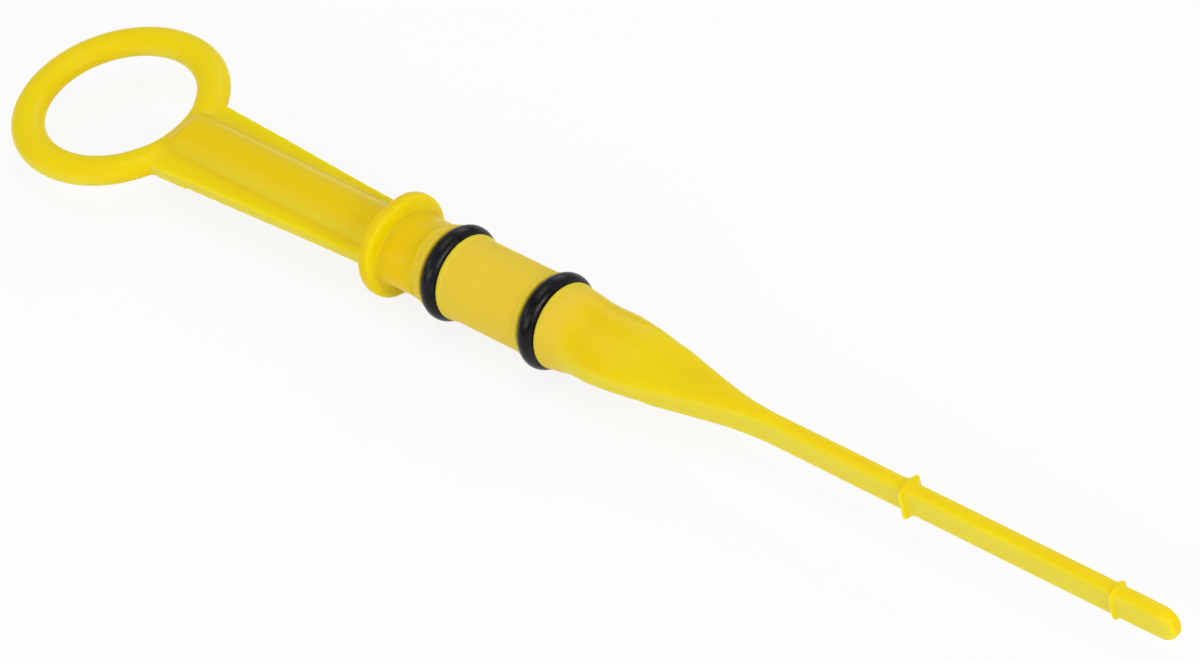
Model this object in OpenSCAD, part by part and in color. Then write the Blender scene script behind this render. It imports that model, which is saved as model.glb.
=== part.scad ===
// Engine oil dipstick: one plastic moulding with a finger ring, a finned grip, a stop collar,
// a round seal barrel and a leaf that runs out into the measuring rod, plus two O-rings.
// X runs along the stick towards the tip, the ring lies in the XY plane, and the origin is
// on the axis, in the face of the collar that stops against the mouth of the dipstick tube.

/* [Finger ring] */
// Outer diameter of the finger ring
ring_od = 34.3; // [32:0.1:42]
// Width of the ring's band, from hole to outer edge
ring_band = 5.25; // [4:0.25:7]
// Thickness of the ring's band at its crown
ring_thick = 3.8; // [3:0.1:6]
// Distance from the collar's seat back to the centre of the ring
ring_reach = 61.6; // [54:0.1:80]

/* [Grip] */
// Distance from the finger hole to where the grip's bar starts inside the ring's band
nose_setback = 0.7; // [0.4:0.1:3]
// Length over which the bar's nose rises out of the band
nose_run = 5; // [3:0.5:8]
// Diameter of the round bar in the middle of the grip
grip_d = 8.6; // [7:0.1:10]
// Thickness of the two side fins
fin_thick = 2.1; // [1.6:0.1:2.8]
// Width over both fins where they meet the collar
fin_span_collar = 11; // [10.5:0.1:12.5]
// Width over both fins where they meet the ring
fin_span_ring = 16; // [13:0.1:18]
// Radius of the fillets between the bar and the fins
fin_fillet = 1.8; // [0.4:0.1:1.9]
// Reach of the rounding in the corners between the fins and the ring
fin_corner = 1.2; // [0.4:0.1:2]

/* [Collar] */
// Width of the oval collar, across the fins
collar_width = 16.8; // [16.4:0.1:20]
// Height of the oval collar
collar_height = 14.9; // [14.8:0.1:18]
// Thickness of the collar
collar_thick = 2.4; // [2:0.1:3.4]
// Radius of the rounding on both edges of the collar's rim
collar_round = 0.8; // [0.3:0.1:0.9]
// Squareness of the oval, where 2 is a plain ellipse
collar_bulge = 2.3; // [2:0.1:3]
// Width of the small flats on the top and bottom of the collar
collar_flat = 2.6; // [2:0.2:5]
// Reach of the hollow flare from the bar up the back of the collar
collar_flare = 0.9; // [0.4:0.1:1.2]

/* [Neck] */
// Length of the neck between the collar and the barrel
neck_len = 6.2; // [4:0.2:10]
// Width of the neck over its thin edges
neck_width = 13; // [11:0.1:13.2]
// Height of the neck at its middle ridges
neck_height = 10.2; // [8:0.2:12]
// Reach of the rounding along the walls of the neck's thin edges
neck_corner = 0.55; // [0.3:0.05:0.7]

/* [Seal barrel] */
// Diameter of the barrel
barrel_d = 12.6; // [12.4:0.1:13]
// Diameter of the thin lips beside the O-rings
lip_d = 13.2; // [13:0.1:13.4]
// Axial width of each lip
lip_width = 0.7; // [0.4:0.1:1.2]
// Distance between the two O-rings, centre to centre
seal_pitch = 19.2; // [12:0.1:30]
// Length of barrel past the outer lips, at both ends
barrel_land = 2; // [2:0.1:4]
// Length of the rounding at the tip end of the barrel
end_round = 1.4; // [0.4:0.1:1.4]
// Depth of that rounding, off the barrel's radius
end_round_depth = 0.8; // [0.3:0.1:1.1]

/* [O-rings] */
// Diameter of the O-ring's round section
seal_section = 3; // [2.4:0.1:3.2]
// Outer diameter of a fitted O-ring
seal_od = 14.7; // [14.1:0.1:15]
// Side clearance between an O-ring and each groove wall
seal_side_gap = 0.1; // [0.05:0.05:0.3]
// Clearance between an O-ring and the groove floor
seal_floor_gap = 0.02; // [0.01:0.01:0.1]

/* [Leaf] */
// Length of the leaf, from the barrel to where the rod begins
leaf_len = 38; // [28:1:60]
// Width of the leaf at the barrel
leaf_width = 12.6; // [10:0.1:13]
// Thickness of the leaf's edges at the barrel
leaf_edge = 2.6; // [1.8:0.1:3.2]
// Height of the leaf's middle ridges at the barrel
leaf_root = 9; // [6:0.2:11]
// Share of the leaf's length over which the ridges run out
ridge_share = 0.42; // [0.3:0.02:0.7]
// Length past the barrel over which the leaf widens to its full width
root_run = 4; // [1:0.5:6]
// Margin that the leaf's root keeps inside the barrel's surface
root_margin = 0.2; // [0.1:0.1:1]
// Share of the leaf's length before it starts to narrow
straight_share = 0.12; // [0:0.02:0.2]

/* [Rod] */
// Distance from the collar's seat to the tip
tip_reach = 140; // [135:0.5:220]
// Width of the rod
rod_width = 2.2; // [1.8:0.1:3]
// Height of the rod
rod_height = 4.9; // [3.6:0.1:5.6]
// Reach of the rounded corners, along the walls of the leaf and the rod
rod_corner = 0.6; // [0.2:0.05:0.7]
// Rise of the crowned top and bottom faces, from edge to middle
rod_crown = 0.2; // [0.1:0.05:0.4]
// Share of the rod's width that is left where the rounded tip ends
tip_pinch = 0.45; // [0.3:0.05:0.8]

/* [Level marks] */
// Distance from the collar's seat to the upper mark
upper_mark_reach = 95.2; // [90:0.2:110]
// Distance between the upper and the lower mark
mark_pitch = 35.2; // [12:0.2:38]
// Height of the upper mark out of the rod's sides
upper_mark_rise = 1.1; // [0.5:0.1:1.6]
// Height of the lower mark out of the rod's sides
lower_mark_rise = 0.6; // [0.4:0.1:1.2]
// Height of the upper mark out of the rod's top and bottom
upper_mark_overrun = 0.4; // [0.1:0.1:0.5]
// Height of the lower mark out of the rod's top and bottom
lower_mark_overrun = 0.2; // [0.1:0.1:0.5]
// Width of a mark's crest
mark_crest = 0.24; // [0.1:0.02:0.4]

/* [Hidden] */
$fn = 96;
// Depth by which solids of one moulding run into each other
weld = 0.3;

// Height by which the nose's side outline starts above the fins and ends above the bar
nose_spare = 0.1;
nose_steps = 8;
rim_steps = 3;
flare_steps = 4;
oval_step = 6;

ring_r = (ring_od - ring_band) / 2;
grip_r = grip_d / 2;
nose_x = -ring_reach + ring_od / 2 - ring_band + nose_setback;
fin_start_x = -ring_reach + ring_r - ring_band;
// Radius at which the ring's band is as thin as the fins
fin_ring_r = ring_r + ring_band / 2 * sqrt(1 - pow(fin_thick / ring_thick, 2));

seal_r = (seal_od - seal_section) / 2;
groove_r = seal_r - seal_section / 2 - seal_floor_gap;
groove_half = seal_section / 2 + seal_side_gap;
upper_seal_x = neck_len + barrel_land + lip_width + groove_half;
lower_seal_x = upper_seal_x + seal_pitch;
barrel_r = barrel_d / 2;
lip_r = lip_d / 2;
lip_slope = (lip_d - barrel_d) / 2;
barrel_end_x = lower_seal_x + groove_half + lip_width + barrel_land;

root_r = barrel_r - root_margin;
root_half_width = sqrt(root_r * root_r - leaf_edge * leaf_edge / 4);

rod_x = barrel_end_x + leaf_len;
ridge_end_x = barrel_end_x + leaf_len * ridge_share;
tip_turn = 74;
tip_r = rod_height / 2;
tip_x = tip_reach - tip_r * sin(tip_turn);
lower_mark_reach = upper_mark_reach + mark_pitch;
rod_edge = rod_height / 2 - rod_crown;
root_steps = 3;
leaf_steps = 22;
tip_steps = 6;
corner_steps = 3;
flank_steps = 4;

function smooth(t) = t <= 0 ? 0 : t >= 1 ? 1 : t * t * (3 - 2 * t);
function mix(a, b, t) = a + (b - a) * t;

// Half width, edge half height and ridge half height of the leaf and rod at a place along X
function leaf_t(x) = (x - barrel_end_x) / leaf_len;
function narrowing(x) = smooth((leaf_t(x) - straight_share) / (1 - straight_share));
function root_share(x) = min(1, max(0, (x - barrel_end_x) / root_run));
function half_width(x) =
    mix(root_half_width, mix(leaf_width, rod_width, narrowing(x)) / 2, root_share(x));
function half_edge(x) = mix(leaf_edge / 2, rod_edge, min(1, max(0, leaf_t(x))));
function ridge_rise(x) =
    (leaf_root / 2 - leaf_edge / 2 - rod_crown)
    * (1 - smooth((x - barrel_end_x) / (ridge_end_x - barrel_end_x)));
function half_ridge(x) = half_edge(x) + rod_crown + ridge_rise(x);

// A corner between the side wall and the sloping face, rounded by a quadratic curve
function corner(a, e, b, c) =
    let (slope = norm([a, b - e]), in_pt = [a, e - c], out_pt = [a, e] + [-a, b - e] * c / slope)
    [for (i = [0:corner_steps]) let (t = i / corner_steps)
        in_pt * (1 - t) * (1 - t) + [a, e] * 2 * t * (1 - t) + out_pt * t * t];
function quarter(a, e, b, c) = concat(corner(a, e, b, c), [[0, b]]);
function flip(pts) = [for (i = [len(pts) - 2:-1:0]) [-pts[i][0], pts[i][1]]];
function upper_half(a, e, b, c) = concat(quarter(a, e, b, c), flip(quarter(a, e, b, c)));
function section(a, e, b, c) =
    let (up = upper_half(a, e, b, c))
    concat(up, [for (p = up) -p]);

// One station of a level mark: how far from its middle, and how much of its height is left there.
// Its flanks are hollow quarter circles that run out along the rod.
function flank(rise, turn) = [mark_crest / 2 + rise * (1 - cos(turn)), 1 - sin(turn)];
function mark_ring(x, offset, share, rise, overrun) =
    [x + offset, section(rod_width / 2 + rise * share, rod_edge + overrun * share,
        rod_height / 2 + overrun * share, rod_corner)];
function mark_rings(x, rise, overrun) = [
    for (side = [-1, 1], i = [0:flank_steps])
        let (turn = 90 * (side < 0 ? flank_steps - i : i) / flank_steps, at = flank(rise, turn))
        mark_ring(x, side * at[0], at[1], rise, overrun)
];

// Sections along the leaf and rod with the two level marks, then round the tip
leaf_stations = concat(
    [barrel_end_x - end_round - weld],
    [for (i = [0:root_steps - 1]) barrel_end_x + root_run * i / root_steps],
    [for (i = [0:leaf_steps]) mix(barrel_end_x + root_run, rod_x, i / leaf_steps)]
);
shaft_rings = concat(
    [for (x = leaf_stations)
        [x, section(half_width(x), half_edge(x), half_ridge(x), rod_corner)]],
    mark_rings(upper_mark_reach, upper_mark_rise, upper_mark_overrun),
    mark_rings(lower_mark_reach, lower_mark_rise, lower_mark_overrun),
    [for (i = [0:tip_steps])
        let (turn = tip_turn * i / tip_steps, k = cos(turn))
        [tip_x + tip_r * sin(turn),
            section(rod_width / 2 * mix(tip_pinch, 1, k), rod_edge * k, tip_r * k, rod_corner * k)]]
);

// Skin through a row of [x, outline] rings that all have as many points
module loft(rings) {
    count = len(rings[0][1]);
    last = len(rings) - 1;
    points = [for (ring = rings) each [for (p = ring[1]) [ring[0], p[0], p[1]]]];
    start_cap = [[for (j = [count - 1:-1:0]) j]];
    end_cap = [[for (j = [0:count - 1]) last * count + j]];
    sides = [for (i = [0:last - 1]) each [for (j = [0:count - 1])
        each [
            [i * count + j, i * count + (j + 1) % count, (i + 1) * count + j],
            [i * count + (j + 1) % count, (i + 1) * count + (j + 1) % count, (i + 1) * count + j]
        ]]];
    polyhedron(points, [for (f = concat(start_cap, sides, end_cap)) [for (k = [len(f) - 1:-1:0]) f[k]]]);
}

// Turns a shape that stands on Z so that it lies along X
module along_x() {
    rotate([90, 0, 90]) children();
}

// Band of the ring: an oval section, crowned on both faces
module finger_ring() {
    oval = [for (a = [0:10:350]) [ring_r + ring_band / 2 * cos(a), ring_thick / 2 * sin(a)]];
    translate([-ring_reach, 0, 0]) rotate_extrude() polygon(oval);
}

// One fillet between the bar and a fin, in the first quadrant of the section
module fin_fillet_piece() {
    rise = fin_thick / 2 + fin_fillet;
    run = sqrt(pow(grip_r + fin_fillet, 2) - rise * rise);
    difference() {
        polygon([[0, 0], [run, 0], [run, rise], [0, rise]]);
        translate([run, rise]) circle(fin_fillet);
        circle(grip_r - weld);
    }
}

// Section of the grip: the bar, a wide fin and four fillets
module grip_section() {
    circle(grip_r);
    square([ring_od, fin_thick], center = true);
    for (side = [0, 1], top = [0, 1]) {
        mirror([side, 0]) mirror([0, top]) fin_fillet_piece();
    }
}

// Half width over the fins at a place along X, and the corner where their edge meets the band
function fin_half(x) = mix(fin_span_collar, fin_span_ring, x / fin_start_x) / 2;
function band_x(y) = -ring_reach + sqrt(fin_ring_r * fin_ring_r - y * y);
fin_meet = let (y = fin_half(band_x(fin_span_ring / 2))) [band_x(y), y];
fin_turn = asin(fin_meet[1] / fin_ring_r) + fin_corner / fin_ring_r * 180 / PI;
fin_from = [fin_meet[0] + fin_corner, fin_half(fin_meet[0] + fin_corner)];
fin_to = [-ring_reach + fin_ring_r * cos(fin_turn), fin_ring_r * sin(fin_turn)];

// Plan outline that tapers the fins, rounds their corners and ends them inside the ring's band
module grip_plan() {
    edge = concat(
        [[-weld, fin_span_collar / 2]],
        [for (i = [0:corner_steps]) let (t = i / corner_steps)
            fin_from * (1 - t) * (1 - t) + fin_meet * 2 * t * (1 - t) + fin_to * t * t],
        [[fin_start_x, fin_to[1]]]
    );
    difference() {
        polygon(concat(edge, [for (i = [len(edge) - 1:-1:0]) [edge[i][0], -edge[i][1]]]));
        translate([-ring_reach, 0]) circle(ring_r);
    }
}

// Side outline of the grip, where the nose rises from the band's thickness to over the bar
module grip_side() {
    rise = [for (i = [0:nose_steps]) let (t = i / nose_steps)
        [nose_x + nose_run * t, mix(fin_thick / 2, grip_r, smooth(t)) + nose_spare]];
    top = concat(rise, [[0, grip_r + nose_spare]]);
    polygon(concat(top, [for (i = [len(top) - 1:-1:0]) [top[i][0], -top[i][1]]]));
}

module grip() {
    intersection() {
        translate([nose_x, 0, 0]) along_x() linear_extrude(-nose_x - weld) grip_section();
        rotate([90, 0, 0]) linear_extrude(ring_od, center = true) grip_side();
        linear_extrude(ring_od, center = true) grip_plan();
    }
    intersection() {
        translate([fin_start_x, 0, 0]) along_x()
            linear_extrude(nose_x - fin_start_x + weld) square([ring_od, fin_thick], center = true);
        linear_extrude(ring_od, center = true) grip_plan();
    }
}

function bulged(v) = sign(v) * pow(abs(v), 2 / collar_bulge);
// Oval outline of the collar, pulled in by an inset: a squared ellipse, cut open for the two flats
function oval(inset) =
    let (a = (collar_width - collar_flat) / 2 - inset, b = collar_height / 2 - inset)
    [for (arc = [[0, 90, 1], [90, 180, -1], [180 + oval_step, 270, -1], [270, 360 - oval_step, 1]])
        for (turn = [arc[0]:oval_step:arc[1]])
            [arc[2] * collar_flat / 2 + a * bulged(cos(turn)), b * bulged(sin(turn))]];

// One station of the collar's rounded rim, from its flat face outwards
function rim_ring(face_x, side, turn) =
    [face_x + side * collar_round * (1 - cos(turn)), oval(collar_round * (1 - sin(turn)))];
collar_rings = concat(
    [for (i = [0:rim_steps]) rim_ring(-collar_thick, 1, 90 * i / rim_steps)],
    [for (i = [rim_steps:-1:0]) rim_ring(0, -1, 90 * i / rim_steps)]
);

// Oval stop collar with its seat at the origin, and the flare up its back
module collar() {
    loft(collar_rings);
    flare = [for (i = [0:flare_steps]) let (turn = 90 * i / flare_steps)
        [grip_r - nose_spare + (collar_flare + nose_spare) * (1 - cos(turn)),
            -collar_thick - collar_flare * (1 - sin(turn))]];
    along_x() rotate_extrude() polygon(concat(
        [[0, -collar_thick - collar_flare]],
        flare,
        [[grip_r + collar_flare, weld - collar_thick], [0, weld - collar_thick]]
    ));
}

// Neck with thin side edges and a ridge above and below
module neck() {
    translate([-weld, 0, 0]) along_x() linear_extrude(neck_len + 2 * weld)
        polygon(section(neck_width / 2, fin_thick / 2, neck_height / 2, neck_corner));
}

// Outline of one O-ring groove with its two lips, as radius over X
function groove(x) = [
    [x - groove_half - lip_width - lip_slope, barrel_r],
    [x - groove_half - lip_width, lip_r],
    [x - groove_half, lip_r],
    [x - groove_half, groove_r],
    [x + groove_half, groove_r],
    [x + groove_half, lip_r],
    [x + groove_half + lip_width, lip_r],
    [x + groove_half + lip_width + lip_slope, barrel_r]
];

module barrel() {
    outline = concat(
        [[neck_len, 0], [neck_len, barrel_r - lip_slope]],
        groove(upper_seal_x),
        groove(lower_seal_x),
        [for (i = [0:rim_steps]) let (turn = 90 * i / rim_steps)
            [barrel_end_x - end_round * (1 - sin(turn)), barrel_r - end_round_depth * (1 - cos(turn))]],
        [[barrel_end_x, 0]]
    );
    along_x() rotate_extrude() polygon([for (p = outline) [p[1], p[0]]]);
}

module dipstick() {
    color("gold") union() {
        finger_ring();
        grip();
        collar();
        neck();
        barrel();
        loft(shaft_rings);
    }
}

module seal(x) {
    color("#26262a") translate([x, 0, 0]) along_x()
        rotate_extrude() translate([seal_r, 0]) circle(seal_section / 2);
}

module upper_oring() {
    seal(upper_seal_x);
}

module lower_oring() {
    seal(lower_seal_x);
}

dipstick();
upper_oring();
lower_oring();
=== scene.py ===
import math

import bpy
import numpy as np
from mathutils import Matrix, Vector
from mathutils.bvhtree import BVHTree


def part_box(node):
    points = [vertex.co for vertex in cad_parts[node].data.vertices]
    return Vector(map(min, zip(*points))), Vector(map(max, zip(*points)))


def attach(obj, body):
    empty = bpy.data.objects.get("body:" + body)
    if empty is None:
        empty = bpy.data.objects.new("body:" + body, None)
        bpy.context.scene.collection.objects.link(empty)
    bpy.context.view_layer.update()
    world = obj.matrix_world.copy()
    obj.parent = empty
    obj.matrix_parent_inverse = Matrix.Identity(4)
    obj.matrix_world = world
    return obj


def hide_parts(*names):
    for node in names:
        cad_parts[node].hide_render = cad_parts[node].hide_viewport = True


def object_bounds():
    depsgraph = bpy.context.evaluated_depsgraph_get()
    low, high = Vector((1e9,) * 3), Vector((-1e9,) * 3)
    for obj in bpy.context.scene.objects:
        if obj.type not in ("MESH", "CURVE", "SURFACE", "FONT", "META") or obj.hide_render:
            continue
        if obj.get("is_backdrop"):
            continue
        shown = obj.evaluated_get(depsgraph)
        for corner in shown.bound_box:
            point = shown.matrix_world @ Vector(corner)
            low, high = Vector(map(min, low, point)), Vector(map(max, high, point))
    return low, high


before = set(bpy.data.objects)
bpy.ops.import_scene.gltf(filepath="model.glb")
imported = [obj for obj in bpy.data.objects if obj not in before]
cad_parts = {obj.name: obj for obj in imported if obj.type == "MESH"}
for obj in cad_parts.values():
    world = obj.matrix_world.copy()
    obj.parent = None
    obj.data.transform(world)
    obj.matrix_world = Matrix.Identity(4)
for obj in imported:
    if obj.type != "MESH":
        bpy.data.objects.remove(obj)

cad_low, cad_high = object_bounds()
bpy.ops.object.select_all(action="DESELECT")

# Camera: looks down on the stick from its right front at 43 degrees with a long lens, rolled a
# little, so that the ring lies at the upper left and the tip at the lower right.
photo_width = 1200
sensor_width = 36
focal_pixels = 5041.906
half_pixel = 0.5 / photo_width
camera_place = Vector((0.44981286, -0.31278222, 0.48053313))
camera_right = Vector((0.7278127, 0.6573301, -0.1954630))
camera_down = Vector((0.3595363, -0.6084597, -0.7074676))
camera_forward = Vector((-0.5839711, 0.4446279, -0.6791788))
bpy.ops.object.camera_add()
camera = bpy.context.object
camera.name = "photo_camera"
camera.matrix_world = Matrix.Translation(camera_place) @ Matrix(
    (camera_right, -camera_down, -camera_forward)).transposed().to_4x4()
camera.data.lens = focal_pixels * sensor_width / photo_width
camera.data.sensor_width = sensor_width
camera.data.sensor_fit = "HORIZONTAL"
camera.data.shift_x = -half_pixel
camera.data.shift_y = half_pixel
camera.data.clip_start = 0.01
camera.data.clip_end = 20
bpy.context.scene.camera = camera
bpy.context.scene.view_settings.view_transform = "Standard"


# Studio: a plain white table top under the stick, a soft white room, one broad softbox overhead
# and narrower ones at the near side, the left, the far side and the tip. Only the camera and
# mirror rays see the table as plain white.
class Socket:
    """An output of a shader node, so that shader maths reads as plain sums."""

    def __init__(self, tree, output=None):
        self.tree = tree
        self.output = output

    def node(self, kind, settings=None, values=None, output=0):
        """Adds a node with its settings and socket values, and gives one of its outputs."""
        made = self.tree.nodes.new(kind)
        for name, value in (settings or {}).items():
            setattr(made, name, value)
        for name, value in (values or {}).items():
            if isinstance(value, Socket):
                self.tree.links.new(value.output, made.inputs[name])
            else:
                made.inputs[name].default_value = value
        return Socket(self.tree, made.outputs[output] if made.outputs else None)

    def beside(self, name):
        """Another output of the same node."""
        return Socket(self.tree, self.output.node.outputs[name])

    def maths(self, operation, *values):
        return self.node("ShaderNodeMath", {"operation": operation}, dict(enumerate(values)))

    def blend(self, factor, first, second):
        factor_input, first_colour, second_colour, colour_output = 0, 6, 7, 2
        return self.node(
            "ShaderNodeMix", {"data_type": "RGBA"},
            {factor_input: factor, first_colour: first, second_colour: second}, colour_output)

    def band(self, start, end):
        """0 below start, 1 above end, and a smooth step between them."""
        return self.node(
            "ShaderNodeMapRange", {"interpolation_type": "SMOOTHSTEP"},
            {"Value": self, "From Min": start, "From Max": end})

    def __add__(self, other):
        return self.maths("ADD", self, other)

    def __mul__(self, other):
        return self.maths("MULTIPLY", self, other)

    def __sub__(self, other):
        return self.maths("SUBTRACT", self, other)

    def __rsub__(self, other):
        return self.maths("SUBTRACT", other, self)

    __radd__ = __add__
    __rmul__ = __mul__


def new_material(name):
    """An empty procedural material and a handle on its node tree."""
    material = bpy.data.materials.new(name)
    material.use_nodes = True
    material.node_tree.nodes.clear()
    return material, Socket(material.node_tree)


plain_white = (1, 1, 1, 1)
table_paint = (0.86, 0.86, 0.86, 1)
table_glow = 0.85
table_material, tree = new_material("white_table")
camera_ray = tree.node("ShaderNodeLightPath", output="Is Camera Ray")
seen = tree.maths("MAXIMUM", camera_ray, camera_ray.beside("Is Glossy Ray"))
seen = tree.maths("MAXIMUM", seen, camera_ray.beside("Is Transmission Ray"))
paint = tree.node("ShaderNodeBsdfPrincipled", None, {
    "Base Color": table_paint, "Roughness": 0.8, "Specular IOR Level": 0.2})
glow = tree.node("ShaderNodeEmission", None, {"Color": plain_white, "Strength": 1})
tree.node("ShaderNodeOutputMaterial", None, {
    "Surface": tree.node("ShaderNodeMixShader", None, {0: seen * table_glow, 1: paint, 2: glow})})

table_size = 4
table_gap = 0.00002
bpy.ops.mesh.primitive_plane_add(size=table_size, location=(0, 0, cad_low.z - table_gap))
table = bpy.context.object
table.name = "table_top"
table.data.materials.append(table_material)
table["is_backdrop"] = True

room_light = 0.46
world = bpy.data.worlds.new("white_room")
world.use_nodes = True
world.node_tree.nodes.clear()
tree = Socket(world.node_tree)
camera_ray = tree.node("ShaderNodeLightPath", output="Is Camera Ray")
room = tree.node("ShaderNodeBackground", None, {"Color": plain_white, "Strength": room_light})
backdrop = tree.node("ShaderNodeBackground", None, {"Color": plain_white, "Strength": 1})
tree.node("ShaderNodeOutputWorld", None, {
    "Surface": tree.node("ShaderNodeMixShader", None, {0: camera_ray, 1: room, 2: backdrop})})
bpy.context.scene.world = world

# Each softbox: its name, its place, its width and height, and its watts. All face the collar.
collar_centre = Vector((0.0, 0.0, 0.0))
softboxes = (
    ("overhead_softbox", (0.0, 0.10, 0.70), (0.60, 0.40), 1.2),
    ("near_softbox", (0.10, -0.60, 0.30), (0.50, 0.20), 1.15),
    ("left_softbox", (-0.42, -0.43, 0.40), (0.30, 0.12), 0.4),
    ("far_softbox", (-0.15, 0.60, 0.35), (0.50, 0.16), 0.8),
    ("tip_softbox", (0.70, -0.05, 0.30), (0.40, 0.20), 1.9),
)
for name, place, size, watts in softboxes:
    bpy.ops.object.light_add(type="AREA", location=place)
    lamp = bpy.context.object
    lamp.name = name
    lamp.rotation_euler = (collar_centre - Vector(place)).to_track_quat("-Z", "Y").to_euler()
    lamp.data.shape = "RECTANGLE"
    lamp.data.size, lamp.data.size_y = size
    lamp.data.energy = watts

# Dipstick moulding: one injection-moulded piece of translucent yellow nylon. Its edges are
# rounded as a mould leaves them, and the plastic is lemon where it is thin, golden where thick:
# partly the nylon's own deeper colour in depth, partly painted light glowing through thin parts
# and painted shade in thick ones.
fine_pitch, quick_pitch = 0.00014, 0.00025
merge_distance = 0.000001
skin_pitch = fine_pitch
moulding = bpy.data.objects.new("dipstick_moulding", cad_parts["dipstick"].data.copy())
bpy.context.scene.collection.objects.link(moulding)
bpy.ops.object.select_all(action="DESELECT")
moulding.select_set(True)
bpy.context.view_layer.objects.active = moulding
bpy.ops.object.mode_set(mode="EDIT")
bpy.ops.mesh.select_all(action="SELECT")
bpy.ops.mesh.remove_doubles(threshold=merge_distance)
bpy.ops.object.mode_set(mode="OBJECT")


def apply_modifier(piece, kind, **settings):
    """Adds a modifier with its settings and applies it at once."""
    modifier = piece.modifiers.new(kind.lower(), kind)
    for name, value in settings.items():
        setattr(modifier, name, value)
    bpy.ops.object.modifier_apply(modifier=modifier.name)


def ease(value, start, end):
    """0 before start, 1 after end, and a smooth step between them, for each item of an array."""
    share = np.clip((value - start) / (end - start), 0, 1)
    return share * share * (3 - 2 * share)


def read_points(piece, kind="co"):
    """The places of a piece's vertices, or their normals, as rows of x, y and z."""
    points = np.empty(len(piece.data.vertices) * 3)
    piece.data.vertices.foreach_get(kind, points)
    return points.reshape(-1, 3)


def write_points(piece, points):
    piece.data.vertices.foreach_set("co", points.ravel())
    piece.data.update()


def axis_reach(across, up):
    """How far each vertex lies from the stick's axis, never quite zero."""
    return np.hypot(across, up) + 1e-9


def outline_reach(across, up, half_width, half_height, power):
    """How far an oval outline lies from the axis, in the direction of each vertex."""
    reach = axis_reach(across, up)
    return ((np.abs(across) / reach / half_width) ** power
            + (np.abs(up) / reach / half_height) ** power) ** (-1 / power)


apply_modifier(moulding, "REMESH", mode="VOXEL", voxel_size=skin_pitch, adaptivity=0)
points = read_points(moulding)
x, y, z = points.T

# The gate's stub: a strip left proud on the near fin, from the ring to where it was cut
stub_start, stub_end = -0.0470, -0.0397
stub_run = 0.002
stub_height = 0.00025
fin_side, fin_edge = 0.0060, 0.0070
on_stub = (y < -fin_side) & (x > stub_start) & (x < stub_end)
stub_rise = ease(x, stub_start, stub_start + stub_run) * ease(-y, fin_side, fin_edge)
y[on_stub] -= stub_height * stub_rise[on_stub]

# The collar's rim: its corners are drawn in until the outline is a plain oval on both sides of
# the small flats. The shares say how far out the drawing in begins and where it is whole
rim_flat = 0.0013
rim_back, rim_front = -0.0030, 0.0004
square_half_width, square_power = 0.0071, 2.3
oval_half_width, oval_power = 0.0069, 2.0
rim_begins, rim_whole = 0.78, 0.95
side = np.maximum(np.abs(y) - rim_flat, 0)
square_rim = outline_reach(side, z, square_half_width, cad_high.z, square_power)
oval_rim = outline_reach(side, z, oval_half_width, cad_high.z, oval_power)
at_rim = ease(np.hypot(side, z) / square_rim, rim_begins, rim_whole)
at_rim = at_rim * (x > rim_back) * (x < rim_front)
change = 1 + (oval_rim / square_rim - 1) * at_rim
y[:] = np.sign(y) * (np.minimum(np.abs(y), rim_flat) + side * change)
z *= change

# The grip's bar is turned true down to where its fillets run out along the fins
bar_start, bar_end = -0.0495, -0.0026
bar_radius = 0.0043
fillet_slope = 0.529
fillet_height = 0.00195
reach = axis_reach(y, z)
on_bar = (x > bar_start) & (x < bar_end) & (np.abs(z) > fillet_height)
on_bar &= (np.abs(z) > fillet_slope * np.abs(y)) & (reach > bar_radius)
y[on_bar] *= bar_radius / reach[on_bar]
z[on_bar] *= bar_radius / reach[on_bar]

# The neck fills out to a soft oval between the collar and the barrel
neck_start, neck_end = -0.0002, 0.0064
neck_half_width, neck_half_height, neck_power = 0.0065, 0.0051, 1.75
on_neck = (x > neck_start) & (x < neck_end)
neck_oval = outline_reach(y, z, neck_half_width, neck_half_height, neck_power)

# The leaf's root runs from the round barrel down to the flat leaf in a soft shoulder, which ends
# on the leaf's own width and height, measured in thin slabs along it
root_start, root_fades, root_end = 0.0326, 0.0400, 0.0480
shoulder_end = 0.0385
barrel_radius, shoulder_draw = 0.0063, 0.0003
flat_leaf_height = 0.0045
round_power, shoulder_power = 2, 0.1
stations = np.linspace(0.0320, 0.0560, 49)
slab_half = 0.0004
slabs = [np.abs(x - station) < slab_half for station in stations]
leaf_width = np.interp(x, stations, [np.abs(y[slab]).max() for slab in slabs])
leaf_height = np.interp(x, stations, [np.abs(z[slab]).max() for slab in slabs])
shoulder = ease(x, root_start, shoulder_end)
root_half_width = np.maximum(leaf_width, barrel_radius - shoulder_draw * shoulder)
root_drop = (np.minimum(leaf_height, flat_leaf_height) - barrel_radius) * shoulder
root_oval = outline_reach(
    y, z, root_half_width, barrel_radius + root_drop, round_power + shoulder_power * shoulder)
on_root = (x > root_start) & (x < root_end)
root_share = ease(-x, -root_end, -root_fades)

reach = axis_reach(y, z)
filled = reach.copy()
filled[on_neck] = np.maximum(reach, neck_oval)[on_neck]
filled[on_root] = (reach + np.maximum(root_oval - reach, 0) * root_share)[on_root]
y *= filled / reach
z *= filled / reach
write_points(moulding, points)
apply_modifier(moulding, "REMESH", mode="VOXEL", voxel_size=skin_pitch, adaptivity=0)

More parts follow.
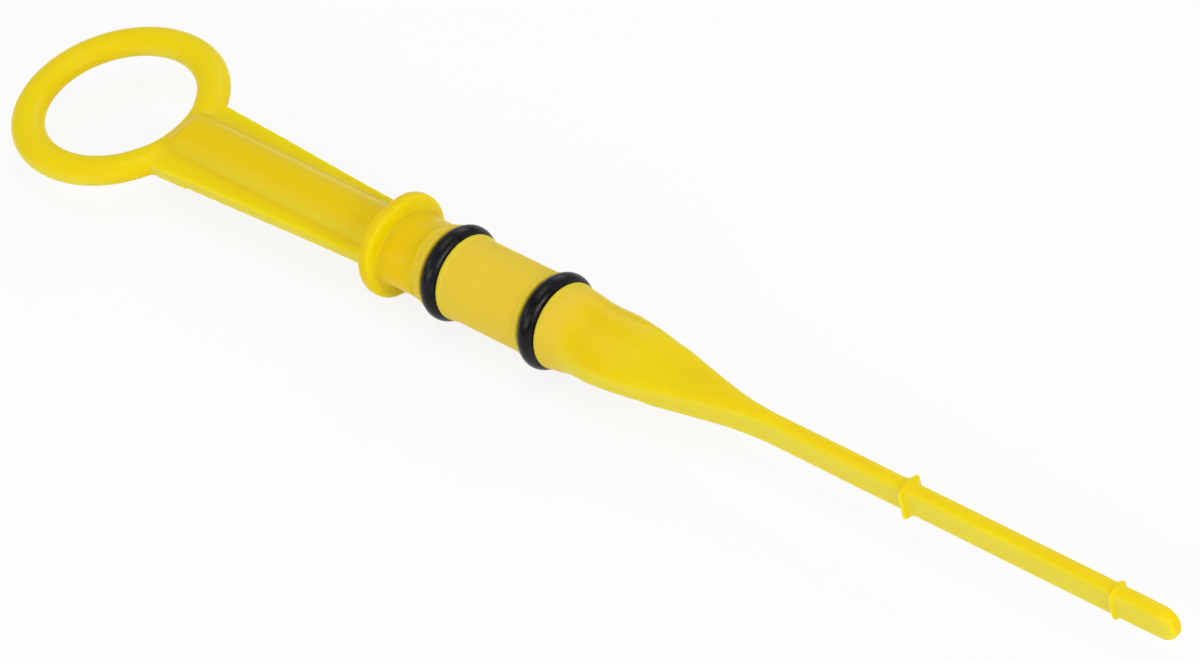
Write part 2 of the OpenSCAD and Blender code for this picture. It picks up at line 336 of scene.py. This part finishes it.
# Where the mould blends one form into the next: start and end along the stick, how far the
# blend fades out at both ends, how far it reaches across, and how many passes it takes
coarseness = (fine_pitch / skin_pitch) ** 2
weight_steps = 16
across_fade = 0.0008
for name, start, end, fade, across, passes in (
    ("whole", -0.090, 0.150, 0.001, 0.020, 4),
    ("nose", -0.0500, -0.0400, 0.0016, 0.0056, 300),
    ("bar", -0.0440, -0.0030, 0.0030, 0.0062, 40),
    ("collar_back", -0.0040, -0.0020, 0.0006, 0.020, 16),
    ("neck", 0.0001, 0.0060, 0.0006, 0.020, 150),
    ("leaf_root", 0.0332, 0.0490, 0.0026, 0.020, 160),
    ("leaf", 0.0390, 0.0640, 0.0050, 0.020, 60),
    ("leaf_end", 0.0640, 0.0900, 0.0080, 0.020, 20),
    ("rod", 0.0900, 0.1340, 0.0040, 0.020, 7),
    ("upper_mark", 0.0940, 0.0964, 0.0006, 0.020, 8),
    ("lower_mark", 0.1292, 0.1316, 0.0006, 0.020, 8),
    ("tip", 0.1360, 0.1500, 0.0020, 0.020, 30),
):
    group = moulding.vertex_groups.new(name=name)
    x, y, z = read_points(moulding).T
    weight = ease(x, start - fade, start) * ease(-x, -end - fade, -end)
    weight *= ease(-np.abs(y), -across - across_fade, -across)
    level = np.round(weight * weight_steps).astype(int)
    for step in range(1, weight_steps + 1):
        group.add(np.flatnonzero(level == step).tolist(), step / weight_steps, "REPLACE")
    apply_modifier(
        moulding, "SMOOTH", factor=0.5, iterations=max(1, round(passes * coarseness)),
        vertex_group=name)
moulding.vertex_groups.clear()

# The smoothing draws thin forms in, so the leaf, its end and the rod are grown back to size
leaf_growth, leaf_end_growth, rod_growth = 0.00018, 0.00014, 0.00012
points = read_points(moulding)
x = points[:, 0]
regrown = (
    leaf_growth * ease(x, 0.0370, 0.0410) * ease(-x, -0.0700, -0.0600)
    + leaf_end_growth * ease(x, 0.0600, 0.0700) * ease(-x, -0.0940, -0.0900)
    + rod_growth * ease(x, 0.0900, 0.0940)
)
write_points(moulding, points + read_points(moulding, "normal") * regrown[:, None])
skin_faces = 92000
apply_modifier(moulding, "DECIMATE", ratio=min(1, skin_faces / len(moulding.data.polygons)))
bpy.ops.object.shade_smooth()

# How thick the plastic is under each point, so that the colour can follow it
deepest = 0.008
under_skin = 0.00002
skin = BVHTree.FromPolygons(
    [v.co for v in moulding.data.vertices], [p.vertices for p in moulding.data.polygons])
wall = moulding.data.attributes.new("wall_thickness", "FLOAT", "POINT")
for vertex in moulding.data.vertices:
    start = vertex.co - vertex.normal * under_skin
    hit_place, _, _, distance = skin.ray_cast(start, -vertex.normal, deepest)
    thick = deepest if hit_place is None else distance
    wall.data[vertex.index].value = thick / deepest

# The nylon's colour: lemon to gold with the thickness, partly its own colour and partly painted
# light through thin parts and painted shade in thick ones; paler on the upright walls, a painted
# sheen of the white table; golden in the neck's waist, painted shade in the crevice between
# collar and barrel; and buff and duller on the barrel
thin_lemon = (0.81, 0.66, 0.001, 1)
thick_gold = (0.775, 0.565, 0.002, 1)
# Painted sheen: the upright walls are paled to stand in for the white table's reflection
painted_wall_sheen, wall_sheen_share = (0.77, 0.67, 0.04, 1), 0.8
# Painted shade: the neck's waist between collar and barrel is darkened to gold
painted_waist_shade, waist_shade_share = (0.80, 0.535, 0.001, 1), 0.55
barrel_buff, barrel_share = (0.78, 0.565, 0.045, 1), 0.85
cloud_depth = 0.5
polish, cloud_dull, barrel_dull = 0.27, 0.14, 0.2
yellow, tree = new_material("yellow_nylon")
place = tree.node("ShaderNodeTexCoord", output="Object")
along = tree.node("ShaderNodeSeparateXYZ", None, {"Vector": place}, "X")
facing = tree.node("ShaderNodeNewGeometry", output="Normal")
sideways = tree.maths(
    "ABSOLUTE", tree.node("ShaderNodeSeparateXYZ", None, {"Vector": facing}, "Y"))
thickness = tree.node("ShaderNodeAttribute", {"attribute_name": "wall_thickness"}, output="Fac")
cloud = tree.node(
    "ShaderNodeTexNoise", None, {"Vector": place, "Scale": 150, "Detail": 3}, "Fac")
# Thickness tint: the nylon's own deeper colour where thick, plus painted light glowing through
# thin parts and painted shade in thick ones
depth = (thickness + (cloud - 0.5) * cloud_depth).band(0.2, 1.0)
colour = tree.blend(depth, thin_lemon, thick_gold)
# Painted sheen on the upright walls away from the barrel, standing in for the white table's
# reflection
clear_of_barrel = 1 - along.band(-0.0030, -0.0020) * (1 - along.band(0.0325, 0.0380))
upright = clear_of_barrel * sideways.band(0.62, 0.96)
colour = tree.blend(upright * wall_sheen_share, colour, painted_wall_sheen)
# Painted shade in the neck's waist, the crevice between collar and barrel
waist = along.band(0.0008, 0.0024) * (1 - along.band(0.0040, 0.0056))
colour = tree.blend(waist * waist_shade_share, colour, painted_waist_shade)
barrel = along.band(0.0056, 0.0080) * (1 - along.band(0.0336, 0.0372))
colour = tree.blend(barrel * barrel_share, colour, barrel_buff)
grain = tree.node(
    "ShaderNodeTexNoise", None, {"Vector": place, "Scale": 2200, "Detail": 4}, "Fac")
waves = tree.node(
    "ShaderNodeTexNoise", None, {"Vector": place, "Scale": 260, "Detail": 2}, "Fac")
relief = tree.node("ShaderNodeBump", None, {
    "Height": waves * 0.8 + grain * 0.2, "Strength": 0.25, "Distance": 0.0002})
surface = tree.node("ShaderNodeBsdfPrincipled", None, {
    "Base Color": colour,
    "Roughness": cloud * cloud_dull + barrel * barrel_dull + polish,
    "IOR": 1.5,
    "Specular IOR Level": 0.13,
    "Subsurface Weight": 0.7,
    "Subsurface Radius": (1.0, 0.75, 0.06),
    "Subsurface Scale": 0.0026,
    "Normal": relief,
})
tree.node("ShaderNodeOutputMaterial", None, {"Surface": surface})
moulding.data.materials.clear()
moulding.data.materials.append(yellow)
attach(moulding, "root")
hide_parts("dipstick")

# O-rings: two black nitrile rubber rings stretched into the barrel's grooves. Each is round in
# section, and pressed flat on the inside where it sits on the groove's floor.
clean_black = (0.0008, 0.0008, 0.0010, 1)
hazy_black = (0.006, 0.007, 0.011, 1)
rubber_polish, haze_dull = 0.12, 0.3
rubber, tree = new_material("black_nitrile")
place = tree.node("ShaderNodeTexCoord", output="Object")
haze = tree.node(
    "ShaderNodeTexNoise", None, {"Vector": place, "Scale": 350, "Detail": 4}, "Fac")
pores = tree.node(
    "ShaderNodeTexNoise", None, {"Vector": place, "Scale": 3000, "Detail": 3}, "Fac")
relief = tree.node("ShaderNodeBump", None, {
    "Height": pores, "Strength": 0.3, "Distance": 0.0001})
surface = tree.node("ShaderNodeBsdfPrincipled", None, {
    "Base Color": tree.blend(haze.band(0.40, 0.65), clean_black, hazy_black),
    "Roughness": haze * haze_dull + rubber_polish,
    "IOR": 1.52,
    "Specular IOR Level": 0.2,
    "Normal": relief,
})
tree.node("ShaderNodeOutputMaterial", None, {"Surface": surface})

pressed_share = 0.97
for node_name in ("upper_oring", "lower_oring"):
    low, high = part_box(node_name)
    section_radius = (high.x - low.x) / 2
    ring_radius = (high.z - low.z) / 2 - section_radius
    bpy.ops.mesh.primitive_torus_add(
        location=((low.x + high.x) / 2, 0, 0), rotation=(0, math.pi / 2, 0),
        major_radius=ring_radius, minor_radius=section_radius,
        major_segments=192, minor_segments=64)
    oring = bpy.context.object
    oring.name = node_name + "_rubber"
    bpy.ops.object.transform_apply(location=True, rotation=True, scale=True)
    inner_radius = ring_radius - section_radius * pressed_share
    for vertex in oring.data.vertices:
        reach = math.hypot(vertex.co.y, vertex.co.z)
        if reach < inner_radius:
            vertex.co.y *= inner_radius / reach
            vertex.co.z *= inner_radius / reach
    bpy.ops.object.shade_smooth()
    oring.data.materials.append(rubber)
    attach(oring, "root")
    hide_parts(node_name)

low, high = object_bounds()
